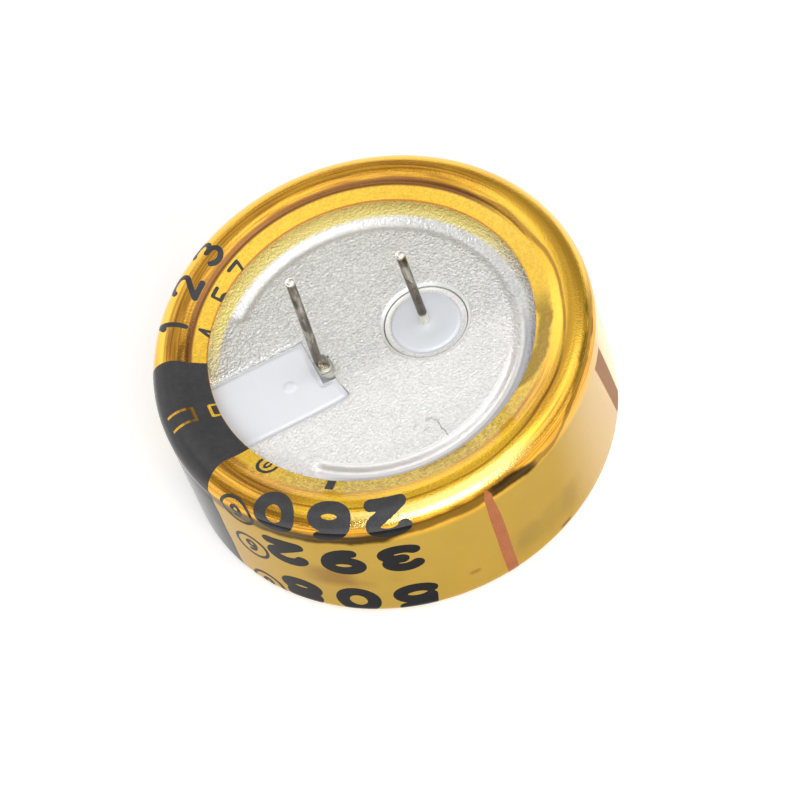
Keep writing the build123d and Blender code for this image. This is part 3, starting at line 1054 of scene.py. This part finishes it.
def cut_region(box, spacing, field):
    """Triangles of the part of a rectangle where the field is negative, cut along its zero line."""
    x0, y0, x1, y1 = box
    nx, ny = (max(2, int(math.ceil(size / spacing))) for size in (x1 - x0, y1 - y0))
    gx, gy = np.meshgrid(np.linspace(x0, x1, nx + 1), np.linspace(y0, y1, ny + 1))
    grid = np.c_[gx.ravel(), gy.ravel()]
    value = field(grid)
    value[np.abs(value) < 1e-6] = -1e-6
    points, index, faces = [], {}, []

    def corner(a, b=None):
        key = (a, a) if b is None else (min(a, b), max(a, b))
        if key not in index:
            index[key] = len(points)
            i, j = key
            share = 0.0 if i == j else value[i] / (value[i] - value[j])
            points.append(grid[i] + share * (grid[j] - grid[i]))
        return index[key]

    for row in range(ny):
        for column in range(nx):
            a = row * (nx + 1) + column
            b, c, d = a + 1, a + nx + 2, a + nx + 1
            halves = ((a, b, c), (a, c, d)) if (row + column) % 2 else ((a, b, d), (b, c, d))
            for triangle in halves:
                if max(value[i] for i in triangle) > 0 and min(value[i] for i in triangle) > 0:
                    continue
                loop = []
                for i, j in zip(triangle, triangle[1:] + triangle[:1]):
                    if value[i] < 0:
                        loop.append(corner(i))
                    if (value[i] < 0) != (value[j] < 0):
                        loop.append(corner(i, j))
                if len(loop) > 2:
                    faces.append(tuple(loop))
    return np.array(points), faces


def printed(skin, xy, faces, angle, lift):
    """Thin shell of ink on the film: x runs clockwise from the angle, y down the film, in millimetres."""
    theta, run = math.radians(angle) - xy[:, 0] / ROUND, xy[:, 1] * MM + (skin["crest"] - CREST_AT * MM)
    top, bottom = (film_surface(skin, theta, run, offset) for offset in (lift, -0.01 * MM))
    points, solid = slab(top, bottom, faces)
    return points, [tuple(reversed(f)) for f in solid]


class CAP_OT_print(bpy.types.Operator):
    """Black print on the film: polarity band, rows of plain numbers and plain rings"""

    bl_idname = "cap.print"
    bl_label = "Print"

    def execute(self, context):
        skin = film_line(context.scene.cap_sleeve)
        ink = context.scene.cap_print
        foot = (skin["run"][-1] - skin["crest"]) / MM - 0.2
        edge = CREST_AT + 0.02 - skin["crest"] / MM
        shells = []

        def add(box, spacing, field, angle):
            x0, y0, x1, y1 = box
            xy, faces = cut_region((x0, max(y0, edge), x1, min(y1, foot)), spacing, field)
            shells.append(printed(skin, xy, faces, angle, ink.lift))

        def add_ring(y, radius, angle, digit):
            xy, faces = ring_strip(0.0, y, radius, 0.085)
            faces = [f for f in faces if min(xy[i, 1] for i in f) > edge and max(xy[i, 1] for i in f) < foot]
            shells.append(printed(skin, xy, faces, angle, ink.lift))
            wide, tall = radius * 0.75, radius * 1.15
            field = digit_field(digit, -wide / 2, y - tall / 2, wide, tall, radius * 0.12)
            add((-wide / 2, y - tall / 2, wide / 2, y + tall / 2), 0.04, field, angle)

        half = math.radians(20.3) * ROUND
        far_mark, near_mark = box_field(-0.36, 1.25, 0.46, 2.6), box_field(-0.36, -0.4, 0.46, 0.46)

        def band(xy):
            frame_far = np.maximum(np.abs(far_mark(xy)) - 0.075, xy[:, 1] - 2.52)
            frame_near = np.abs(near_mark(xy)) - 0.075
            side = np.abs(xy[:, 0] + 0.02 * np.sin(xy[:, 1] * 2.7)) - half
            return np.maximum(side, -np.minimum(frame_far, frame_near))

        add((-half - 0.2, 0.0, half + 0.2, foot), 0.085, band, -180.4)
        tall, stroke = ink.bold_height / MM, 0.31
        for start, digits in zip((1.58, 4.48, 7.8), ("260", "392", "508")):
            for k, digit in enumerate(digits):
                field = digit_field(digit, 0.1, start, 2.05, tall, stroke)
                add((0.0, start - 0.1, 2.25, start + tall + 0.1), 0.06, field, -102.0 - 15.2 * k)
            add_ring(start + 1.85, 0.84, -150.5, "6")
        add_ring(0.26, 0.54, -150.0, "0")
        add((0, -1.7, 0.62, 0.8), 0.06, box_field(0.0, -1.6, 0.5, 0.74), -124.8)
        for k, digit in enumerate("123"):
            wide = 0.9 if digit == "1" else 1.3
            field = digit_field(digit, 0.0, 1.15, wide, 1.6, 0.14)
            add((-0.1, 1.05, wide + 0.1, 2.85), 0.05, field, 149.5 - 12.2 * k)
        for angle, digit in ((150.2, "4"), (134.4, "5"), (123.0, "7")):
            field = digit_field(digit, 0.0, -0.6, 0.95, 1.3, 0.09)
            add((-0.1, -0.7, 1.05, 0.8), 0.045, field, angle)
        rim_ink = plain_finish("Black ink on the rim", ink.ink, (0.052, 0.052, 0.055), 2500.0, 0.24, ior=1.3)
        # The wall's ink is the rim's black print painted darker and less glossy, as painted shade.
        deep, worn = (0.004, 0.004, 0.005), (0.007, 0.007, 0.008)
        wall_ink = plain_finish("Black ink on the wall", deep, worn, 2500.0, 0.12, ior=1.15)
        points, faces = joined(shells)
        zones = [int(points[face[0]][2] < WALL_INK_BELOW) for face in faces]
        add_piece("sleeve_print", points, faces, [rim_ink, wall_ink], "amber_film", zones=zones)
        return {"FINISHED"}


class CAP_OT_plate(bpy.types.Operator):
    """Frosted base plate with its groove, hole and notch"""

    bl_idname = "cap.plate"
    bl_label = "Base plate"

    def execute(self, context):
        plate = context.scene.cap_plate
        top, sheet = plate.top / MM, plate.sheet / MM
        loops = plate_loops(plate)
        extra = []
        middle, width = plate.groove_radius / MM, plate.groove_width / MM
        r = 0.2
        while r < plate.radius / MM - 0.1:
            near = abs(r - middle) < 0.7 * width
            step_round = 0.15 if near else 0.2
            count = max(6, int(2 * math.pi * r / step_round))
            shift = (r * 7.3) % 1
            turns = [2 * math.pi * (i + shift) / count for i in range(count)]
            extra += [(r * math.cos(turn), r * math.sin(turn)) for turn in turns]
            r += 0.05 if near else 0.18
        near_edges = np.concatenate(
            [beside(loops[1:], (0.035, 0.07, 0.11, 0.15, 0.19), 0.07), beside(loops[:1], (0.05, 0.12), 0.12)]
        )
        extra = np.array(extra)
        extra = extra[edge_distance(loops, extra) > 0.2]
        xy, faces = filled(loops, np.concatenate([extra, near_edges]), 0.02)

        radius, angle = np.hypot(*xy.T), np.degrees(np.arctan2(xy[:, 1], xy[:, 0]))
        along = np.radians(np.clip(np.abs(angle) - 135.0, 0, None)) * middle
        dip = np.clip(np.hypot(radius - middle, along) / (width / 2), 0, 1)
        z = top - plate.groove_depth / MM * (0.5 + 0.5 * np.cos(math.pi * dip)) ** 0.9
        z -= 0.05 * (1 - smooth_step(edge_distance(loops[:1], xy) / 0.13)) ** 2
        z -= 0.10 * np.clip(1 - edge_distance(loops[1:], xy) / 0.17, 0, 1) ** 1.4
        z -= 0.045 * (radius / 9.5) ** 2
        body = slab(at_height(xy, z), at_height(xy, top - sheet), faces)
        frosted = frosted_metal(plate)
        add_piece("frosted_plate", *body, [frosted], "plate_steel", ["base_plate"], sharp=50)
        return {"FINISHED"}


def plate_loops(plate):
    """Outline of the plate with its open notch, and its hole, in millimetres."""
    radius = plate.radius / MM
    half = 1.98
    start = math.asin(half / radius)
    angles = np.linspace(-math.pi + start, math.pi - start, 260)
    rim = np.c_[np.cos(angles), np.sin(angles)] * radius
    notch = [(-2.76, 1.98), (-2.76, 0.65), (-2.0, 0.65), (-2.0, 0.5), (-2.06, 0.5), (-2.06, -0.5)]
    notch += [(-2.15, -0.5), (-2.14, -0.72), (-2.10, -1.0), (-2.03, -1.30), (-1.96, -1.60)]
    notch += [(-1.95, -1.76), (-2.05, -1.86), (-2.5, -1.93), (-3.9, -1.98)]
    outline = dense_loop(np.concatenate([rim, notch]), 0.22)
    centre = pin_centre()
    turn = np.linspace(0, 2 * math.pi, 120, endpoint=False)
    hole = np.c_[np.cos(turn), np.sin(turn)] * plate.hole / MM + centre
    return [outline, hole]


def pin_centre():
    """Middle of the positive lead, in millimetres."""
    return np.array([(pin_low.x + pin_high.x) / 2, (pin_low.y + pin_high.y) / 2]) / MM


def dense_loop(loop, spacing):
    """Loop with points added so that none are further apart than the spacing."""
    out = []
    for p, q in zip(loop, np.roll(loop, -1, axis=0)):
        parts = max(1, int(math.ceil(np.linalg.norm(q - p) / spacing)))
        out += [p + (q - p) * t / parts for t in range(parts)]
    return np.array(out)


def beside(loops, depths, spacing):
    """Points beside each loop at the given depths, on both sides."""
    rows = []
    for loop in loops:
        dense = dense_loop(np.asarray(loop), spacing)
        ahead = np.roll(dense, -1, axis=0) - np.roll(dense, 1, axis=0)
        normal = np.c_[-ahead[:, 1], ahead[:, 0]]
        normal /= np.maximum(np.linalg.norm(normal, axis=1), 1e-9)[:, None]
        for depth in depths:
            rows.append(dense + normal * depth)
            rows.append(dense - normal * depth)
    return np.concatenate(rows)


def squircle(half_x, half_y, power, count=40):
    """Closed section between an ellipse and a rectangle."""
    t = np.linspace(0, 2 * math.pi, count, endpoint=False)
    c, s = np.cos(t), np.sin(t)
    x, y = (np.sign(v) * np.abs(v) ** (2 / power) for v in (c, s))
    return np.c_[half_x * x, half_y * y]


def standing(section, x, z):
    """Section of the negative lead laid level at a place, turned away from the positive lead."""
    return np.c_[x - section[:, 0], section[:, 1], np.full(len(section), z)]


class CAP_OT_leads(bpy.types.Operator):
    """Two upright leads: one bent up out of the plate, one headed wire"""

    bl_idname = "cap.leads"
    bl_label = "Leads"

    def execute(self, context):
        plate = context.scene.cap_plate
        top, sheet, radius = plate.top / MM, plate.sheet / MM, plate.lead_radius / MM
        tip = plate_high.z / MM
        lead_x = -pin_centre()[0]
        bend, half_sheet, half_width, full_swell = 0.5, 0.2, 0.5, 0.13
        bend_x, bend_z = lead_x + bend, top + 0.3
        sections = []
        for x in np.linspace(-1.85, bend_x, 5):
            flat = squircle(half_sheet, half_width, 4.5)
            sunk = 0.05 * smooth_step((x - bend_x) / 0.16)
            sections.append(np.c_[np.full(len(flat), x), flat[:, 1], top - sheet / 2 - sunk + flat[:, 0]])
        for turn in np.linspace(0, 90, 14)[1:]:
            swell = full_swell * smooth_step(turn / 70)
            flat = squircle(half_sheet + swell, half_width, 4.5 - 8 * swell)
            sine, cosine = math.sin(math.radians(turn)), math.cos(math.radians(turn))
            reach = flat[:, 0] - (bend - swell)
            sections.append(np.c_[bend_x + sine * reach, flat[:, 1], bend_z + cosine * reach])
        neck = top + 1.1
        heights = np.concatenate([np.linspace(bend_z, neck, 12)[1:], np.linspace(neck, tip - 0.11, 40)[1:]])
        for z in heights:
            share = smooth_step((z - bend_z) / (neck - bend_z))
            swell = full_swell * (1 - smooth_step((z - bend_z - 0.1) / 0.45))
            half_x = half_sheet + (radius - half_sheet) * share + swell
            half_y = half_width + (radius - half_width) * share
            section = squircle(half_x, half_y, 4.5 - 2.5 * share - 8 * swell * (1 - share))
            section[:, 0] -= swell
            lean = plate.lead_lean / MM * smooth_step((z - bend_z) / 2.5) * (z - bend_z) / (tip - bend_z)
            section *= 1 + 0.004 * math.sin(z * 2.1) + 0.003 * math.sin(z * 5.3)
            sections.append(standing(section, lead_x + lean, z))
        for turn in (30, 50, 65, 78, 86):
            a = math.radians(turn)
            section = squircle(radius * math.cos(a), radius * math.cos(a), 2)
            sections.append(standing(section, lead_x + plate.lead_lean / MM, tip - 0.11 * (1 - math.sin(a))))
        points, faces = lofted([section * MM for section in sections])
        metal = lead_metal("Tinned negative lead", plate.lead, tip, (0.42, 0.43, 0.37), 6.95, 7.3)
        rooted = [int(max(points[i][2] for i in face) < plate.top + ROOT_TOP) for face in faces]
        light, dark = (0.60, 0.60, 0.53), (0.38, 0.385, 0.34)
        bent = plain_finish("Bent root", light, dark, 1800.0, 0.4, 0.6, grain=0.03 * MM)
        finishes = [metal, bent]
        add_piece("negative_lead", points, faces, finishes, "lead_metal", ["base_plate"], rooted, sharp=70)

        centre = pin_centre() * MM
        head = contact_high.z / MM
        high = pin_high.z / MM
        profile = [(0, head), (0.55, head), (0.55, head + 0.18), (0.40, head + 0.18), (0.40, top - 0.3)]
        for share, above in ((1, -0.3), (1, -0.02), (1.10, 0.03), (1.12, 0.12), (1.06, 0.22), (1, 0.3)):
            profile.append((radius * share, top + above))
        profile += [(radius * 0.99, top + 1.2), (radius, top + 2.6), (radius * 0.985, top + 4.0)]
        for a in np.radians([0, 20, 40, 55, 68, 79]):
            profile.append((radius * math.cos(a), high - 0.11 * (1 - math.sin(a))))
        profile.append((0, high))
        points, faces = turned(np.array(profile) * MM, 40)
        points[:, :2] += centre
        points[:, 0] -= 0.07 * MM * np.clip((points[:, 2] / MM - top) / (high - top), 0, 1)
        metal = lead_metal("Tinned positive lead", plate.lead, high, (0.9, 0.88, 0.78), 6.95, 7.2)
        add_piece("positive_wire", points, faces, [metal], "lead_metal", ["positive_lead"], sharp=45)
        return {"FINISHED"}


class CAP_OT_insulator(bpy.types.Operator):
    """White insulator: disc and skirt inside the can, pad in the notch and boss round the positive lead"""

    bl_idname = "cap.insulator"
    bl_label = "Insulator"

    def execute(self, context):
        white = context.scene.cap_insulator
        plate = context.scene.cap_plate
        top, sheet = plate.top / MM, plate.sheet / MM
        bottom = top - sheet
        bore = white_high.x / MM
        skirt_foot = white_low.z / MM
        stack = contact_low.z / MM
        contact = contact_high.z / MM
        contact_radius = contact_high.x / MM
        profile = [(0, contact), (contact_radius, contact), (contact_radius, stack), (bore - 0.4, stack)]
        profile += [(bore - 0.4, skirt_foot), (bore, skirt_foot), (bore, bottom), (0, bottom)]
        shells = [turned(np.array(profile) * MM, 160)]
        pad = white.pad_top / MM
        outline = [(-2.77, 1.97), (-2.77, -0.58), (-2.16, -0.58), (-2.10, -1.05), (-2.04, -1.36)]
        outline += [(-1.98, -1.62), (-1.97, -1.75), (-2.06, -1.85), (-2.5, -1.92), (-3.9, -1.97)]
        reach = 9.5
        angles = np.linspace(-math.asin(1.97 / reach), math.asin(1.97 / reach), 14)
        rim = [(-reach * math.cos(a), reach * math.sin(a)) for a in angles]
        loop = dense_loop(np.array(outline + rim), 0.15)
        grid = np.array([(x, y) for x in np.arange(-9.5, -2.0, 0.075) for y in np.arange(-1.95, 1.95, 0.075)])
        xy, faces = filled([loop], grid, 0.035)

        z = pad - 0.05 + 0.09 * smooth_step((edge_distance([loop], xy) - 0.1) / 0.16)
        gate = np.hypot(xy[:, 0] + 4.15, xy[:, 1] + 0.02)
        z += 0.045 * smooth_step((0.34 - gate) / 0.16)
        z -= 0.015 * smooth_step((-5.35 - xy[:, 0]) / 0.08)
        shells.append(slab(at_height(xy, z), at_height(xy, bottom), faces))
        boss = white.boss_radius / MM
        outer = plate.hole / MM - 0.06
        line = [(0, bottom), (outer, bottom), (outer, top - 0.14), (outer - 0.02, top - 0.12)]
        line += [(boss + 0.18, top - 0.20), (boss + 0.07, top - 0.25), (boss + 0.03, top - 0.24)]
        line += [(boss + 0.015, top - 0.12), (boss - 0.01, top - 0.08), (boss - 0.08, top - 0.05)]
        line += [(0.9, top - 0.055), (0.42, top - 0.05), (0.30, top - 0.03), (0, top - 0.03)]
        points, faces = turned(np.array(line) * MM, 120)
        points[:, :2] += pin_centre() * MM
        shells.append((points, faces))
        moulding = white_plastic("White plastic", white.white, (0.73, 0.755, 0.80))
        # The boss's plastic is the pad's, painted darker and greyer as shade.
        milky = white_plastic("White plastic of the boss", white.boss, (0.61, 0.64, 0.68))
        zones = np.concatenate([np.full(len(shell[1]), k // 2) for k, shell in enumerate(shells)])
        points, faces = joined(shells)
        from_pin = np.hypot(*(points[:, :2] / MM - pin_centre()).T)
        for k in np.flatnonzero(zones):
            if min(from_pin[i] for i in faces[k]) > boss + 0.05:
                zones[k] = 2
        collar = plain_finish("Collar round the boss", white.collar, (0.70, 0.69, 0.66), 1500.0, 0.3, 0.2)
        finishes = [moulding, milky, collar]
        add_piece("white_insulator", points, faces, finishes, "white_plastic", ["insulator"], zones, sharp=50)
        return {"FINISHED"}


class CAP_OT_inner(bpy.types.Operator):
    """Finishes of the can and of the cells inside it, which keep their solids"""

    bl_idname = "cap.inner"
    bl_label = "Can and cells"

    def execute(self, context):
        looks = {
            "can_steel": ("Drawn can", (0.74, 0.73, 0.71), (0.62, 0.61, 0.59), 600.0, 0.28, 1.0, 0.003),
            "cell_steel": ("Cell case", (0.70, 0.70, 0.70), (0.58, 0.58, 0.59), 500.0, 0.3, 1.0, 0.004),
            "gasket_plastic": ("Gasket", (0.10, 0.10, 0.10), (0.07, 0.07, 0.075), 900.0, 0.55, 0.0, 0.01),
            "carbon": ("Carbon", (0.03, 0.03, 0.03), (0.016, 0.016, 0.017), 3000.0, 0.8, 0.0, 0.03),
            "separator_paper": (
                "Separator paper", (0.86, 0.86, 0.83), (0.78, 0.78, 0.74), 4000.0, 0.85, 0.0, 0.02
            ),
        }
        finishes = {slot: plain_finish(*values, grain=grain * MM) for slot, (*values, grain) in looks.items()}
        slots = {row["node"]: row["material_slot"] for row in frame["record"]["subparts"]}
        for name, node in frame["nodes"].items():
            finish = finishes.get(slots[name])
            if finish is None:
                continue
            node.data.materials.clear()
            node.data.materials.append(finish)
        return {"FINISHED"}


class CAP_OT_stage(bpy.types.Operator):
    """Pale floor, soft lamps and the camera"""

    bl_idname = "cap.stage"
    bl_label = "Stage"

    def execute(self, context):
        stage = context.scene.cap_stage
        scene = context.scene
        scene.view_settings.view_transform = "Standard"

        rings = (0.0, 0.02, 0.05, 0.1, 0.2, 0.4, stage.floor_size)
        points, faces = turned([(r, -0.00002) for r in rings], 64, closed=False)
        mesh = bpy.data.meshes.new("floor")
        mesh.from_pydata(points.tolist(), [], faces)
        floor = bpy.data.objects.new("floor", mesh)
        scene.collection.objects.link(floor)
        mesh.materials.append(floor_finish(stage))

        world = bpy.data.worlds.new("Studio")
        scene.world = world
        world.use_nodes = True
        sky_colours(world.node_tree)

        add_lamp("Key softbox", toward(110, 42) * 0.2, (0.16, 0.14), stage.key_power)
        add_lamp("Front lamp", toward(177, 25) * 0.13, (0.075, 0.036), stage.front_power)

        add_camera(scene)
        return {"FINISHED"}


def toward(turn, rise):
    """Direction by its turn from straight behind the part (right is positive) and its rise, in degrees."""
    turn, rise = math.radians(turn), math.radians(rise)
    side, far = Vector((0.995, -0.0997, 0)), Vector((0.0997, 0.995, 0))
    level = math.sin(turn) * side + math.cos(turn) * far
    return math.cos(rise) * level + math.sin(rise) * Vector((0, 0, 1))


def glow_towards(look, turn, rise, wide, narrow, level):
    """Soft patch of light round a direction: full inside the narrow angle, gone outside the wide one."""
    cosine = look.along(toward(turn, rise))
    return cosine.ramp(math.cos(math.radians(wide)), math.cos(math.radians(narrow)), 0.0, level)


SKY_PATCHES = (
    (180, 70, 36, 10, 0.56),
    (160, 31, 14, 3, 0.5),
    (-6, 38, 20, 6, 0.12),
    (-138, 62, 26, 8, 0.34),
    (140, 62, 28, 8, 0.38),
    (-96, 56, 24, 7, 0.30),
    (-62, 54, 22, 7, 0.36),
    (-38, 44, 30, 12, 0.52),
    (34, 62, 24, 8, 0.30),
    (84, 50, 28, 8, 0.32),
    (112, 42, 38, 12, 0.56),
    (140, 18, 40, 16, 0.30),
)


def sky_colours(tree):
    """Soft studio surroundings: dim and warm, with a pale backdrop low behind the part and pale patches."""
    look = Look(tree, tree.nodes.new("ShaderNodeTexCoord").outputs["Generated"])
    low = look.split()[2].ramp(math.sin(math.radians(24)), math.sin(math.radians(38)), 1.0, 0.0)
    level = low * glow_towards(look, -24, -42, 82, 64, 0.85)
    for patch in SKY_PATCHES:
        level = level + glow_towards(look, *patch)
    tint = look.mix(level.ramp(0.0, 0.7), (1.0, 0.90, 0.80), (1.0, 1.0, 1.0))
    feed(tree, tree.nodes["Background"], Color=tint, Strength=(level + 0.30) * 1.1)


def add_lamp(name, place, size, power):
    """Rectangular softbox aimed at the part."""
    lamp = bpy.data.lights.new(name, "AREA")
    lamp.shape = "RECTANGLE"
    lamp.size, lamp.size_y = size
    lamp.energy = power
    holder = bpy.data.objects.new(name, lamp)
    bpy.context.scene.collection.objects.link(holder)
    holder.location = place
    holder.rotation_euler = (Vector((0, 0, 0.004)) - Vector(place)).to_track_quat("-Z", "Y").to_euler()
    holder.visible_camera = False


def add_camera(scene):
    """Camera above the near side, turned so that the leads lean as they should."""
    turn, rise, roll = math.radians(-5.72), math.radians(53.636), math.radians(-21.262)
    target = Vector((0, 0, sleeve_high.z))
    back = Vector((math.sin(turn) * math.cos(rise), -math.cos(turn) * math.cos(rise), math.sin(rise)))
    right = Vector((math.cos(turn), math.sin(turn), 0))
    up = back.cross(right)
    tilted_right = math.cos(roll) * right + math.sin(roll) * up
    tilted_up = -math.sin(roll) * right + math.cos(roll) * up
    place = target + back * 156.48 * MM
    aim = target + tilted_right * 1.42 * MM - tilted_up * 3.094 * MM
    view = (place - aim).normalized()
    side = tilted_up.cross(view).normalized()
    upright = view.cross(side)
    camera = bpy.data.cameras.new("Camera")
    camera.lens = 160.24
    camera.sensor_width = 36.0
    camera.clip_start = 0.01
    camera.clip_end = 10.0
    holder = bpy.data.objects.new("Camera", camera)
    scene.collection.objects.link(holder)
    turned_to_view = Matrix((side, upright, view)).transposed().to_4x4()
    holder.matrix_world = Matrix.Translation(place) @ turned_to_view
    scene.camera = holder


PIECES = (
    CAP_OT_sleeve,
    CAP_OT_seam,
    CAP_OT_print,
    CAP_OT_plate,
    CAP_OT_leads,
    CAP_OT_insulator,
    CAP_OT_inner,
    CAP_OT_stage,
)


class CAP_PT_panel(bpy.types.Panel):
    """Buttons for the supercapacitor's pieces."""

    bl_label = "Supercapacitor"
    bl_idname = "CAP_PT_panel"
    bl_space_type = "VIEW_3D"
    bl_region_type = "UI"
    bl_category = "Supercapacitor"

    def draw(self, context):
        for piece in PIECES:
            self.layout.operator(piece.bl_idname)


def register():
    for name, settings in SETTINGS.items():
        bpy.utils.register_class(settings)
        setattr(bpy.types.Scene, name, bpy.props.PointerProperty(type=settings))
    for piece in (*PIECES, CAP_PT_panel):
        bpy.utils.register_class(piece)


def unregister():
    for piece in reversed((*PIECES, CAP_PT_panel)):
        bpy.utils.unregister_class(piece)
    for name, settings in reversed(list(SETTINGS.items())):
        delattr(bpy.types.Scene, name)
        bpy.utils.unregister_class(settings)


def main():
    register()
    bpy.ops.cap.stage()
    bpy.ops.cap.inner()
    bpy.ops.cap.insulator()
    bpy.ops.cap.plate()
    bpy.ops.cap.leads()
    bpy.ops.cap.sleeve()
    bpy.ops.cap.seam()
    bpy.ops.cap.print()


if __name__ == "__main__":
    main()
